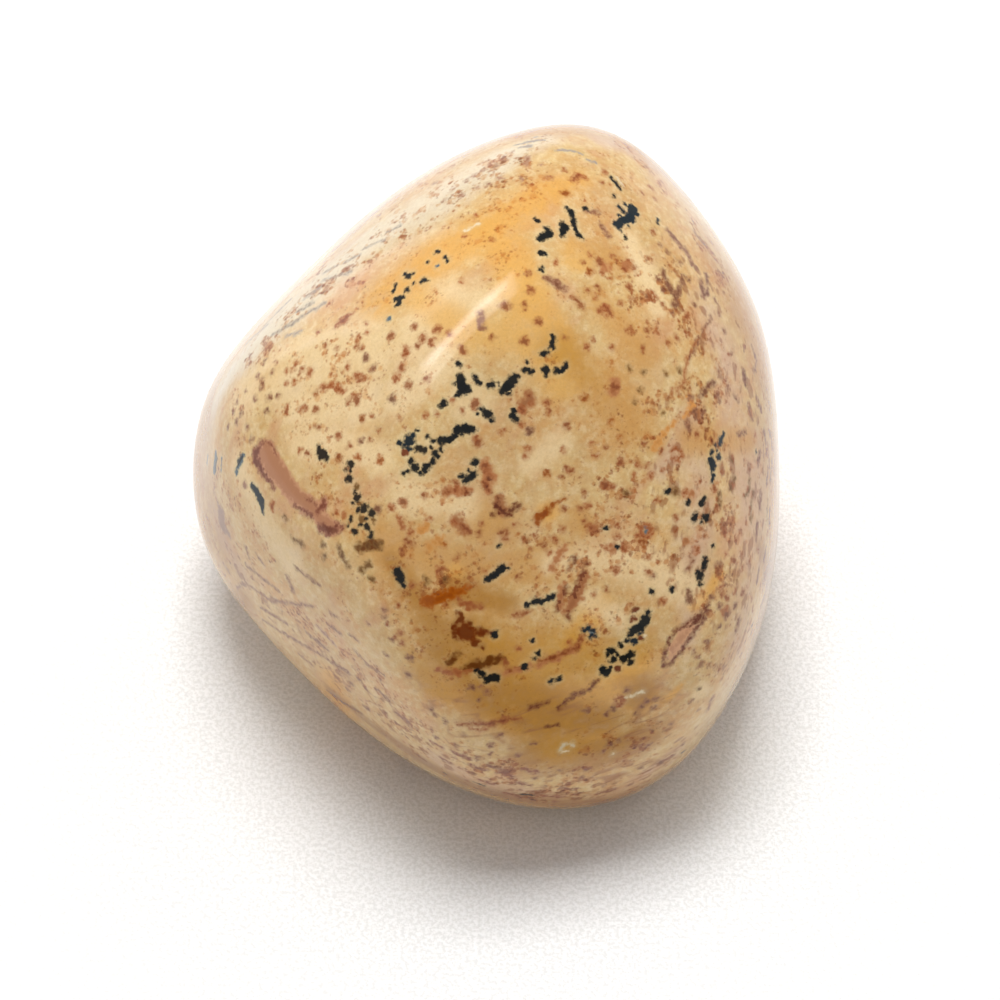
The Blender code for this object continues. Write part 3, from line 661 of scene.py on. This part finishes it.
def fine_stone():
    """The stone's surface as a fine bmesh, standing where the solid stands, and the place of its heart."""
    stone = bmesh.new()
    bmesh.ops.create_cube(stone, size=2.0)
    bmesh.ops.subdivide_edges(stone, edges=stone.edges, cuts=BALL_CUTS, use_grid_fill=True)
    ways = np.tan(places_of(stone) * math.pi / 4)
    ways /= np.linalg.norm(ways, axis=1, keepdims=True)
    worn = ways * reach_of_stone(ways)[:, None]
    for point, place in zip(stone.verts, worn):
        point.co = place
    foot_height = worn[:, 2].min() + FOOT_WEAR
    cut = bmesh.ops.bisect_plane(
        stone,
        geom=stone.verts[:] + stone.edges[:] + stone.faces[:],
        plane_co=(0, 0, foot_height),
        plane_no=(0, 0, -1),
        clear_outer=True,
    )
    rim = [edge for edge in cut["geom_cut"] if isinstance(edge, bmesh.types.BMEdge)]
    foot = bmesh.ops.contextual_create(stone, geom=rim)["faces"]
    bmesh.ops.recalc_face_normals(stone, faces=stone.faces)
    bmesh.ops.triangulate(stone, faces=foot)
    low, high = places_of(stone).min(axis=0), places_of(stone).max(axis=0)
    heart = Vector((-(low[0] + high[0]) / 2, -(low[1] + high[1]) / 2, -foot_height))
    bmesh.ops.transform(stone, matrix=Matrix.Translation(heart), verts=stone.verts)
    return stone, heart


def camera_axes():
    """The camera's right, its up and the way from the stone back to it."""
    elevation = math.radians(CAMERA_ELEVATION)
    right = Vector((1, 0, 0))
    back = Vector((0, -math.cos(elevation), math.sin(elevation)))
    return right, back.cross(right), back


def place_camera(heart):
    """The camera, at the photo's angle. Returns its place and the way to a photo pixel, as a function."""
    right, up, back = camera_axes()
    aim = heart + right * AIM_RIGHT_OF_HEART - up * AIM_BELOW_HEART
    lens = bpy.data.cameras.new("camera")
    lens.sensor_width = SENSOR_WIDTH
    lens.lens = SENSOR_WIDTH * CAMERA_DISTANCE / (PHOTO_PIXELS * PIXEL)
    lens.clip_start = CLIP_START
    lens.clip_end = CLIP_END
    camera = bpy.data.objects.new("camera", lens)
    turn = Matrix((right, up, back)).transposed().to_4x4()
    camera.matrix_world = Matrix.Translation(aim + back * CAMERA_DISTANCE) @ turn
    bpy.context.scene.collection.objects.link(camera)
    bpy.context.scene.camera = camera

    def way_to(x, y):
        middle = PHOTO_PIXELS / 2
        across = right * (x - middle) - up * (y - middle)
        return (across * PIXEL - back * CAMERA_DISTANCE).normalized()

    return camera.location.copy(), way_to


def linear(tint):
    """A colour from 0 to 255, as the eye sees it, as shares of light from 0 to 1."""
    shares = [value / 255 for value in tint]
    return [share / 12.92 if share <= 0.04045 else ((share + 0.055) / 1.055) ** 2.4 for share in shares]


def on_stone(x, y):
    """The place on the stone that shows at a pixel of the photo."""
    way = way_to(x, y)
    return surface.ray_cast(eye, way)[0] or surface.find_nearest(eye + way * CAMERA_DISTANCE)[0]


def seen_strokes(marks):
    """Marks read from the photo, as strokes of (place, radius) on the stone."""
    for mark in marks:
        points = mark if isinstance(mark, list) else [mark]
        yield [(on_stone(x, y), radius * PIXEL) for x, y, radius in points]


def hidden_spot(chance):
    """A place on the side of the stone that the camera doesn't see, and the way it faces."""
    while True:
        way = facing(chance.uniform(-180, 180), math.degrees(math.asin(chance.uniform(-1, 1))))
        place, normal = surface.ray_cast(heart, way)[:2]
        if normal.dot(eye - place) < HIDDEN_LIMIT * (eye - place).length:
            return place, normal


def hidden_stroke(chance, steps, stride, radius):
    """A wandering stroke on the hidden side: a walk of even steps over the stone, thin at its ends."""
    place, normal = hidden_spot(chance)
    start = Vector((chance.uniform(-1, 1), chance.uniform(-1, 1), chance.uniform(-1, 1)))
    ahead = normal.cross(start).normalized()
    stroke = []
    for step in range(steps):
        fullness = math.sin(math.pi * (step + TAPER_START) / (steps + TAPER_EXTRA))
        width = STROKE_END_WIDTH + (1 - STROKE_END_WIDTH) * fullness
        stroke.append((place.copy(), radius * PIXEL * width))
        ahead = Matrix.Rotation(chance.gauss(0, STROKE_WANDER), 3, normal) @ ahead
        place, normal = surface.find_nearest(place + ahead * stride * PIXEL)[:2]
        ahead = (ahead - normal * ahead.dot(normal)).normalized()
    return stroke


def hidden_dot(chance, radius):
    """One dot on the hidden side."""
    return [(hidden_spot(chance)[0], radius * PIXEL)]


def strayed_spot(chance, place, pixels):
    """A place on the stone near another, about so many pixels away."""
    stray = Vector((chance.gauss(0, pixels), chance.gauss(0, pixels), chance.gauss(0, pixels)))
    return surface.find_nearest(place + stray * PIXEL)[0]


def hidden_sprig(chance):
    """A fern-like sprig of grains on the hidden side: grains, some with a crumb, along a wandering walk."""
    walk = hidden_stroke(chance, steps=chance.randint(6, 14), stride=9, radius=4)
    for place, radius in walk:
        yield [(strayed_spot(chance, place, pixels=3), radius * chance.uniform(0.6, 1.3))]
        if chance.random() < 0.5:
            yield [(strayed_spot(chance, place, pixels=7), radius * chance.uniform(0.4, 0.7))]


def hidden_marks():
    """The strokes of each layer on the side that the photo doesn't show, each with its tint."""
    chance = random.Random(MARK_SEED)
    layers = {"blur": [], "fleck": [], "grain": []}
    for index in range(HIDDEN_BLURS):
        tint = chance.choice(("soft rust", "mauve", "pale mauve", "soft orange", "rust"))
        stroke = hidden_stroke(chance, steps=chance.randint(2, 7), stride=9, radius=chance.uniform(2.5, 6))
        layers["blur"].append((tint, stroke))
    for index in range(HIDDEN_DOTS):
        tint = chance.choice(("rust", "rust", "mauve", "mauve", "orange", "olive", "pale mauve"))
        layers["fleck"].append((tint, hidden_dot(chance, radius=chance.uniform(1.5, 4))))
    for index in range(HIDDEN_STREAKS):
        tint = chance.choice(("rust", "mauve", "olive", "dark red"))
        stroke = hidden_stroke(chance, steps=chance.randint(2, 6), stride=8, radius=chance.uniform(1.3, 2.8))
        layers["fleck"].append((tint, stroke))
    for index in range(HIDDEN_SPRIGS):
        tint = chance.choice(("black", "black", "blue black", "brown black"))
        layers["grain"].extend((tint, stroke) for stroke in hidden_sprig(chance))
    for index in range(HIDDEN_GRAINS):
        tint = chance.choice(("black", "brown black", "dark red"))
        layers["grain"].append((tint, hidden_dot(chance, radius=chance.uniform(1.5, 3.6))))
    return layers


def stretches_of(strokes):
    """Each stroke cut into its straight stretches: two ends, two radii, a zero and a colour in every row."""
    chance = random.Random(SHADE_SEED)
    rows = []
    for tint, stroke in strokes:
        shade = chance.uniform(*SHADE_RANGE)
        colour = [share * shade for share in linear(TINTS[tint])]
        for (start, start_radius), (end, end_radius) in zip(stroke, stroke[1:] or stroke):
            rows.append([*start, *end, start_radius, end_radius, 0, *colour])
    return np.array(rows)


def gaps_to(places, row):
    """How far each place lies outside one stretch of a stroke."""
    start, along = row[0:3], row[3:6] - row[0:3]
    offsets = places - start
    shares = np.clip(offsets @ along / max(along @ along, LEAST_SQUARE), 0, 1)
    radii = row[6] + shares * (row[7] - row[6])
    return np.linalg.norm(offsets - shares[:, None] * along, axis=1) - radii


def nearest_stretches(middles, rows):
    """For every face's middle, the numbers of the stretches that lie nearest, nearest first."""
    gaps = np.full((RANKS, len(middles)), FAR_AWAY)
    picks = np.full((RANKS, len(middles)), len(rows))
    for number, row in enumerate(rows):
        margin = max(row[6], row[7]) + FACE_REACH
        low = np.minimum(row[0:3], row[3:6]) - margin
        high = np.maximum(row[0:3], row[3:6]) + margin
        near = np.flatnonzero(((middles > low) & (middles < high)).all(axis=1))
        gap = gaps_to(middles[near], row)
        nearer = gap < gaps[0, near]
        won = near[nearer]
        gaps[1, won], picks[1, won] = gaps[0, won], picks[0, won]
        gaps[0, won], picks[0, won] = gap[nearer], number
        second = ~nearer & (gap < gaps[1, near])
        gaps[1, near[second]], picks[1, near[second]] = gap[second], number
    return picks


def note_strokes(mesh, layer, strokes):
    """Writes on every face which strokes of a layer lie nearest, so that the material can draw them."""
    rows = stretches_of(strokes)
    middles = np.empty(len(mesh.polygons) * 3)
    mesh.polygons.foreach_get("center", middles)
    picks = nearest_stretches(middles.reshape(-1, 3), rows)
    none = [FAR_AWAY] * 6 + [0] * 6  # two far ends, then no radii and no colour
    rows = np.vstack([rows, none])
    for rank in range(RANKS):
        chosen = rows[picks[rank]]
        for column, part in enumerate(("from", "to", "width", "colour")):
            note = mesh.attributes.new(f"{layer}_{rank}_{part}", "FLOAT_VECTOR", "FACE")
            note.data.foreach_set("vector", chosen[:, column * 3 : column * 3 + 3].ravel())


def note_washes(mesh):
    """Writes on every point how strongly each soft zone shows there."""
    places = np.empty(len(mesh.vertices) * 3)
    mesh.vertices.foreach_get("co", places)
    places = places.reshape(-1, 3)
    chance = random.Random(ZONE_SEED)
    for wash, (strength, marks) in WASHES.items():
        strokes = [("cream", stroke) for stroke in seen_strokes(marks)]
        for index in range(HIDDEN_ZONE_STROKES):
            steps = chance.randint(2, 5)
            stroke = hidden_stroke(chance, steps, stride=45, radius=chance.uniform(16, 34))
            strokes.append(("cream", stroke))
        amounts = np.zeros(len(places))
        for row in stretches_of(strokes):
            reach = max(row[6], row[7])
            gaps = gaps_to(places, row) + reach
            amounts = np.maximum(amounts, np.exp(-((gaps / reach) ** WASH_FADE)) * strength)
        note = mesh.attributes.new(f"wash_{wash}", "FLOAT", "POINT")
        note.data.foreach_set("value", amounts)


def feed(tree, socket, value):
    """Links an output to a socket, or sets the socket to a value."""
    if isinstance(value, bpy.types.NodeSocket):
        tree.links.new(value, socket)
    else:
        socket.default_value = value


def add_node(tree, kind, inputs=(), **settings):
    """A node of that kind with its settings, its inputs given by name or number."""
    node = tree.nodes.new("ShaderNode" + kind)
    for name, value in settings.items():
        setattr(node, name, value)
    for name, value in dict(inputs).items():
        feed(tree, node.inputs[name], value)
    return node


def sum_of(tree, operation, *values):
    """One step of arithmetic on numbers."""
    return add_node(tree, "Math", enumerate(values), operation=operation).outputs[0]


def vector_sum(tree, operation, *values):
    """One step of arithmetic on vectors."""
    node = add_node(tree, "VectorMath", enumerate(values), operation=operation)
    return node.outputs["Value" if operation in ("DOT_PRODUCT", "LENGTH") else "Vector"]


def scaled(tree, vector, share):
    """A vector made longer or shorter."""
    inputs = {SCALE_VECTOR: vector, SCALE_SHARE: share}
    return add_node(tree, "VectorMath", inputs, operation="SCALE").outputs[0]


def spread(tree, value, low, high, to_low=0.0, to_high=1.0):
    """A value eased from one range to another."""
    inputs = {"Value": value, "From Min": low, "From Max": high, "To Min": to_low, "To Max": to_high}
    return add_node(tree, "MapRange", inputs, interpolation_type="SMOOTHSTEP").outputs["Result"]


def blend(tree, share, under, over, way="MIX"):
    """One colour laid over another."""
    inputs = {MIX_SHARE: share, MIX_UNDER: under, MIX_OVER: over}
    return add_node(tree, "Mix", inputs, data_type="RGBA", blend_type=way).outputs[MIX_RESULT]


def noise(tree, place, scale, detail=2.0, roughness=0.5):
    """A cloudy pattern through the stone."""
    inputs = {"Vector": place, "Scale": scale, "Detail": detail, "Roughness": roughness}
    return add_node(tree, "TexNoise", inputs)


def note_of(tree, name, output):
    """What was written on the mesh under that name."""
    return add_node(tree, "Attribute", attribute_name=name).outputs[output]


def paint(tint):
    """A colour from 0 to 255, as the eye sees it, made ready for a socket."""
    return (*linear(tint), 1.0)


def depth_in_stroke(tree, place, layer, rank):
    """How deep a point lies inside the nearest stroke of a layer, and the stroke's colour."""
    start, end, width, colour = [
        note_of(tree, f"{layer}_{rank}_{part}", "Vector") for part in ("from", "to", "width", "colour")
    ]
    along = vector_sum(tree, "SUBTRACT", end, start)
    offset = vector_sum(tree, "SUBTRACT", place, start)
    length = vector_sum(tree, "DOT_PRODUCT", along, along)
    share = sum_of(tree, "DIVIDE", vector_sum(tree, "DOT_PRODUCT", offset, along), length)
    share = add_node(tree, "Clamp", {"Value": share}).outputs[0]
    nearest = scaled(tree, along, share)
    distance = vector_sum(tree, "LENGTH", vector_sum(tree, "SUBTRACT", offset, nearest))
    radii = add_node(tree, "SeparateXYZ", {0: width}).outputs
    widening = sum_of(tree, "SUBTRACT", radii[1], radii[0])
    radius = sum_of(tree, "ADD", radii[0], sum_of(tree, "MULTIPLY", share, widening))
    return sum_of(tree, "SUBTRACT", radius, distance), colour


def strayed(tree, place, lumps, stray):
    """The place, shifted a little by a lumpy pattern, so that a mark's edge strays."""
    shift = vector_sum(tree, "SUBTRACT", noise(tree, place, lumps).outputs["Color"], (0.5, 0.5, 0.5))
    return vector_sum(tree, "ADD", place, scaled(tree, shift, stray * PIXEL))


def depths_of(tree, place, layer):
    """For each rank, farthest first, how deep a point lies in that stroke, crumbled, and its colour."""
    look = MARK_LOOKS[layer]
    bent = strayed(tree, place, look["lumps"], look["stray"])
    crumbs = sum_of(tree, "SUBTRACT", noise(tree, place, look["crumbs"], 1.0).outputs[0], 0.5)
    crumble = sum_of(tree, "MULTIPLY", crumbs, look["crumble"] * PIXEL)
    for rank in reversed(range(RANKS)):
        depth, colour = depth_in_stroke(tree, bent, layer, rank)
        depth = sum_of(tree, "ADD", depth, look["swell"] * PIXEL)
        yield depth, sum_of(tree, "ADD", depth, crumble), colour


def lay_halos(tree, under, depths, layer, tint=None):
    """The colour with a faint stain round each mark of a layer, in the mark's colour or a given tint."""
    look = MARK_LOOKS[layer]
    for depth, crumbled, colour in depths:
        cover = spread(tree, depth, -look["halo"] * PIXEL, 0.0, 0.0, look["halo_strength"])
        under = blend(tree, cover, under, tint or colour)
    return under


def lay_marks(tree, under, depths, layer):
    """The colour with the marks of a layer laid over it."""
    look = MARK_LOOKS[layer]
    softness = look["softness"] * PIXEL
    for depth, crumbled, colour in depths:
        cover = spread(tree, crumbled, -softness, softness, 0.0, look["strength"])
        heart = spread(tree, crumbled, 0.0, look["core"] * PIXEL, 0.0, look["core_strength"])
        under = blend(tree, cover, under, blend(tree, heart, colour, CORE_SHADE, "MULTIPLY"))
    return under


def wash_of(tree, name):
    """How strongly a soft zone shows at a place."""
    return note_of(tree, f"wash_{name}", "Fac")


def lay_specks(tree, place, under, kind, density):
    """The colour darkened by fine specks of one kind, each speck a dot in a cell of its own."""
    shade, cells, size, strength = kind
    bent = strayed(tree, place, cells * SPECK_LUMPS, SPECK_STRAY / cells / PIXEL)
    cell = add_node(tree, "TexVoronoi", {"Vector": bent, "Scale": cells, "Randomness": 1.0}, feature="F1")
    draw = add_node(tree, "SeparateColor", {0: cell.outputs["Color"]}).outputs[0]
    radius = sum_of(tree, "MULTIPLY", sum_of(tree, "MULTIPLY", draw, density), size)
    inside = sum_of(tree, "SUBTRACT", radius, cell.outputs["Distance"])
    cover = spread(tree, inside, *SPECK_EDGE, 0.0, strength)
    return blend(tree, cover, under, shade, "MULTIPLY")


def drawn_out(tree, place, way, stretch):
    """Places in a frame that is drawn out along one way, for a pattern that runs that way."""
    along = Vector(way).to_track_quat("X", "Z").to_euler()
    inputs = {"Vector": place, "Rotation": tuple(along), "Scale": stretch}
    return add_node(tree, "Mapping", inputs, vector_type="TEXTURE").outputs[0]


def waves(tree, place, scale, height):
    """A cloudy pattern that swings above and below zero."""
    swing = sum_of(tree, "SUBTRACT", noise(tree, place, scale, 3.0).outputs[0], 0.5)
    return sum_of(tree, "MULTIPLY", swing, height)


def ground_colour(tree, place):
    """The stone between its marks: cream, clouded, mottled and blushed, with its zones of colour, a painted
    reflection along the upper left edge, painted shade at its rim, and bands.
    """
    flow = drawn_out(tree, place, BAND_WAY, BAND_STRETCH)
    ripple = sum_of(tree, "ADD", waves(tree, flow, 420, RIPPLE), waves(tree, place, 1900, SMALL_RIPPLE))
    deep = spread(tree, noise(tree, flow, 900, 4.0, 0.6).outputs[0], 0.3, 0.7)
    colour = blend(tree, deep, paint(LIGHT_CREAM), paint(DEEP_CREAM))
    cloud = spread(tree, noise(tree, place, 330, 4.0, 0.6).outputs[0], 0.42, 0.66, 0.0, 0.6)
    colour = blend(tree, cloud, colour, paint(CLOUD))
    mottle = noise(tree, place, 2900, 3.0, 0.65).outputs[0]
    colour = blend(tree, spread(tree, mottle, 0.46, 0.64, 0.0, 0.6), colour, DARK_MOTTLE, "MULTIPLY")
    colour = blend(tree, spread(tree, mottle, 0.36, 0.5, 0.35, 0.0), colour, paint(PALE_MOTTLE))
    blush = spread(tree, noise(tree, flow, 640, 4.0, 0.6).outputs[0], 0.5, 0.7, 0.0, 0.55)
    colour = blend(tree, blush, colour, paint(BLUSH))
    # The zones of colour, the last of them a painted reflection: a pale sheen along the upper left edge.
    for zone, tint, starts, full in ZONES:
        amount = sum_of(tree, "ADD", wash_of(tree, zone), ripple)
        colour = blend(tree, spread(tree, amount, starts, full), colour, paint(tint))
    # Painted shade: darkens the stone towards its outer edges, as the camera sees them.
    colour = blend(tree, spread(tree, wash_of(tree, "rim"), 0.0, 1.0), colour, PAINTED_RIM_SHADE, "MULTIPLY")
    return lay_bands(tree, place, colour)


def lay_bands(tree, place, under):
    """The colour with thin wavy brown bands laid over it, along the way the stone's layers run."""
    drawn = drawn_out(tree, place, LAYER_WAY, LAYER_STRETCH)
    faint = spread(tree, noise(tree, place, 1100, 2.0).outputs[0], 0.4, 0.62, 0.0, 0.6)
    faint = sum_of(tree, "MULTIPLY", faint, wash_of(tree, "bands"))
    for scale, tint in BANDS:
        swing = sum_of(tree, "SUBTRACT", noise(tree, drawn, scale, 2.0).outputs[0], 0.5)
        line = spread(tree, sum_of(tree, "ABSOLUTE", swing), 0.0, BAND_LINE, 1.0, 0.0)
        under = blend(tree, sum_of(tree, "MULTIPLY", line, faint), under, paint(tint))
    return under


def strew_specks(tree, place, colour):
    """The colour with fine dust, specks, ticks and dashes, thick in some clumps and thin in others."""
    patches = spread(tree, noise(tree, place, 420, 3.0).outputs[0], 0.36, 0.68)
    clumps = spread(tree, noise(tree, place, 1300, 2.0).outputs[0], 0.36, 0.62)
    spots = sum_of(tree, "ADD", patches, wash_of(tree, "specks"))
    density = sum_of(tree, "MULTIPLY", clumps, spots)
    dust = noise(tree, place, 9000, 3.0, 0.7).outputs[0]
    colour = blend(tree, spread(tree, dust, 0.3, 0.7, 0.0, 0.14), colour, paint(DUST))
    for kind in SPECKS:
        colour = lay_specks(tree, place, colour, kind, density)
    for zone, way in (("ticks", TICK_WAY), ("dashes", LAYER_WAY)):
        drawn = drawn_out(tree, place, way, TICK_STRETCH)
        thickness = sum_of(tree, "ADD", clumps, TICK_BASE)
        thickness = sum_of(tree, "MULTIPLY", wash_of(tree, zone), thickness)
        colour = lay_specks(tree, drawn, colour, TICKS, thickness)
    return colour


def jasper():
    """The polished stone: its mottled ground, fine specks, blurs, flecks and dark grains."""
    material = bpy.data.materials.new("jasper")
    material.use_nodes = True
    tree = material.node_tree
    shader = tree.nodes["Principled BSDF"]
    place = add_node(tree, "TexCoord").outputs["Object"]
    blurs, flecks, grains = [list(depths_of(tree, place, layer)) for layer in ("blur", "fleck", "grain")]
    colour = ground_colour(tree, place)
    colour = lay_halos(tree, colour, grains, "grain", paint(GRAIN_HALO))
    colour = lay_halos(tree, colour, blurs, "blur")
    colour = lay_halos(tree, colour, flecks, "fleck")
    colour = strew_specks(tree, place, colour)
    colour = lay_marks(tree, colour, blurs, "blur")
    colour = lay_marks(tree, colour, flecks, "fleck")
    colour = lay_marks(tree, colour, grains, "grain")
    feed(tree, shader.inputs["Base Color"], colour)
    waxy = noise(tree, place, 700, 3.0).outputs[0]
    feed(tree, shader.inputs["Roughness"], spread(tree, waxy, 0.3, 0.7, *ROUGHNESS))
    shader.inputs["IOR"].default_value = STONE_IOR
    gloss = spread(tree, wash_of(tree, "dull"), 0.1, 0.9, *GLOSS)
    feed(tree, shader.inputs["Specular IOR Level"], gloss)
    return material


def lay_floor():
    """The white surface that the stone lies on, which has a fine sandy grain."""
    form = bmesh.new()
    bmesh.ops.create_grid(form, x_segments=1, y_segments=1, size=FLOOR_REACH)
    mesh = bpy.data.meshes.new("floor")
    form.to_mesh(mesh)
    form.free()
    floor = bpy.data.objects.new("floor", mesh)
    bpy.context.scene.collection.objects.link(floor)
    paper = bpy.data.materials.new("white_floor")
    paper.use_nodes = True
    tree = paper.node_tree
    shader = tree.nodes["Principled BSDF"]
    shader.inputs["Roughness"].default_value = FLOOR_ROUGHNESS
    place = add_node(tree, "TexCoord").outputs["Object"]
    grain = noise(tree, place, SAND_GRAINS, 2.0, 0.7).outputs[0]
    sand = blend(tree, spread(tree, grain, 0.35, 0.65), SAND_DARK, SAND_LIGHT)
    feed(tree, shader.inputs["Base Color"], sand)
    relief = {"Height": grain, "Strength": SAND_RELIEF_STRENGTH, "Distance": SAND_RELIEF}
    feed(tree, shader.inputs["Normal"], add_node(tree, "Bump", relief).outputs[0])
    mesh.materials.append(paper)


def soft_lamp(name, towards, size, power, long_way, unseen_by):
    """A rectangular soft lamp that looks at the stone's heart, its second side along the long way."""
    light = bpy.data.lights.new(name, "AREA")
    light.shape = "RECTANGLE"
    light.size, light.size_y = size
    light.energy = power
    lamp = bpy.data.objects.new(name, light)
    back = Vector(towards).normalized()
    side = Vector(long_way).cross(back).normalized()
    turn = Matrix((side, back.cross(side), back)).transposed().to_4x4()
    lamp.matrix_world = Matrix.Translation(heart + back * LAMP_DISTANCE) @ turn
    lamp.visible_glossy = unseen_by != "glossy"
    lamp.visible_diffuse = unseen_by != "diffuse"
    bpy.context.scene.collection.objects.link(lamp)


def light_surround():
    """The dim, even white light of the room."""
    world = bpy.data.worlds.new("studio")
    world.use_nodes = True
    background = world.node_tree.nodes["Background"]
    background.inputs["Color"].default_value = (1, 1, 1, 1)
    background.inputs["Strength"].default_value = SURROUND_STRENGTH
    bpy.context.scene.world = world


stone, heart = fine_stone()
eye, way_to = place_camera(heart)
surface = BVHTree.FromBMesh(stone)

mesh = bpy.data.meshes.new("polished_stone")
stone.to_mesh(mesh)
mesh.shade_smooth()
hidden = hidden_marks()
for layer, groups in (("blur", BLURS), ("fleck", FLECKS), ("grain", GRAINS)):
    seen = [(tint, stroke) for tint, marks in groups.values() for stroke in seen_strokes(marks)]
    note_strokes(mesh, layer, seen + hidden[layer])
note_washes(mesh)
mesh.materials.append(jasper())
skin = bpy.data.objects.new("polished_stone", mesh)
bpy.context.scene.collection.objects.link(skin)
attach(skin, "root")
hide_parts("stone")

lay_floor()
for name, lamp in LAMPS.items():
    soft_lamp(name, *lamp)
light_surround()
bpy.context.scene.view_settings.view_transform = "Standard"
